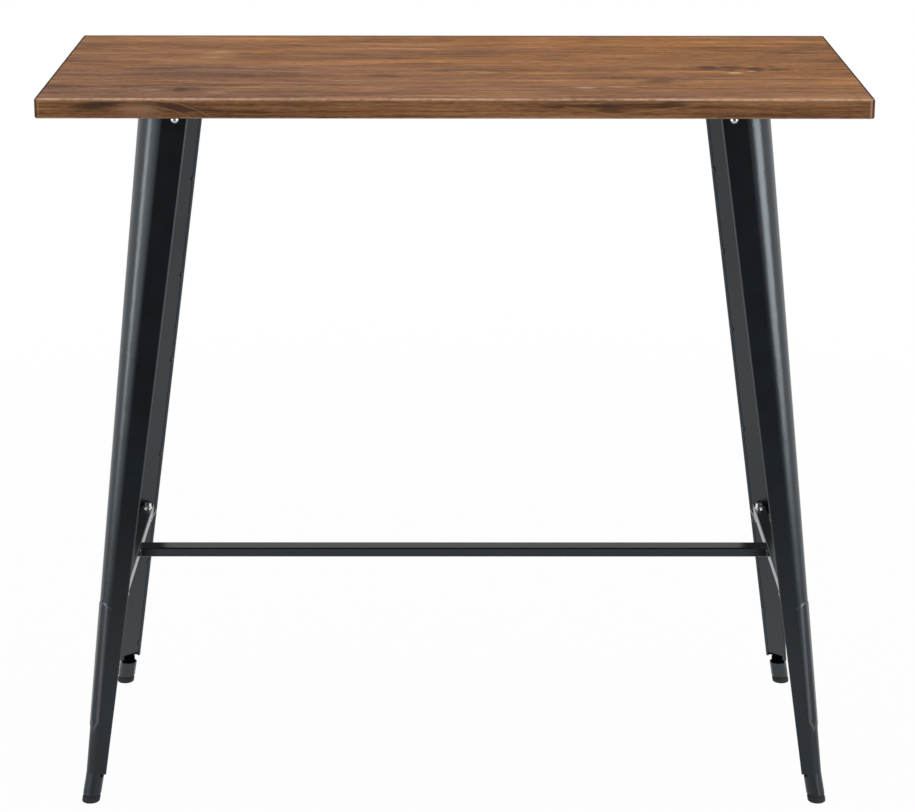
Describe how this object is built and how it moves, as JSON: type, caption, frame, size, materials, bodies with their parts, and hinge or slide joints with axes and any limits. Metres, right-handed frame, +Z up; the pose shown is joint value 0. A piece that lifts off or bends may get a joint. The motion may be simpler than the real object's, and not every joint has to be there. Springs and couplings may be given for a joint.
{
  "type": "bar table",
  "caption": "Bar-height table with a stained solid wood top on splayed legs of folded charcoal steel, with an H-shaped foot rail and rubber feet.",
  "frame": {"origin": "on the floor under the middle of the top", "axes": "+X along the top's length, +Y from front to back, +Z up"},
  "size_m": [1.2, 0.6, 1.1],
  "materials": {
    "stained_pine": "brown stained solid pine, satin lacquer",
    "charcoal_coat": "satin charcoal powder coat",
    "zinc_plate": "bright zinc plate",
    "black_rubber": "matt black rubber"
  },
  "bodies": {
    "root": {"bracket_screws": "zinc_plate", "bracket_weld_nuts": "zinc_plate", "foot_bar": "charcoal_coat", "leg_bolts": "zinc_plate", "leg_front_left": "charcoal_coat", "leg_front_right": "charcoal_coat", "leg_rear_left": "charcoal_coat", "leg_rear_right": "charcoal_coat", "rail_bolts": "zinc_plate", "rail_nuts": "zinc_plate", "rail_tab_front_left": "charcoal_coat", "rail_tab_front_right": "charcoal_coat", "rail_tab_rear_left": "charcoal_coat", "rail_tab_rear_right": "charcoal_coat", "rail_washers": "zinc_plate", "rubber_foot_front_left": "black_rubber", "rubber_foot_front_right": "black_rubber", "rubber_foot_rear_left": "black_rubber", "rubber_foot_rear_right": "black_rubber", "side_rail_left": "charcoal_coat", "side_rail_right": "charcoal_coat", "tabletop": "stained_pine", "top_bracket_front_left": "zinc_plate", "top_bracket_front_right": "zinc_plate", "top_bracket_rear_left": "zinc_plate", "top_bracket_rear_right": "zinc_plate"}
  },
  "joints": []
}
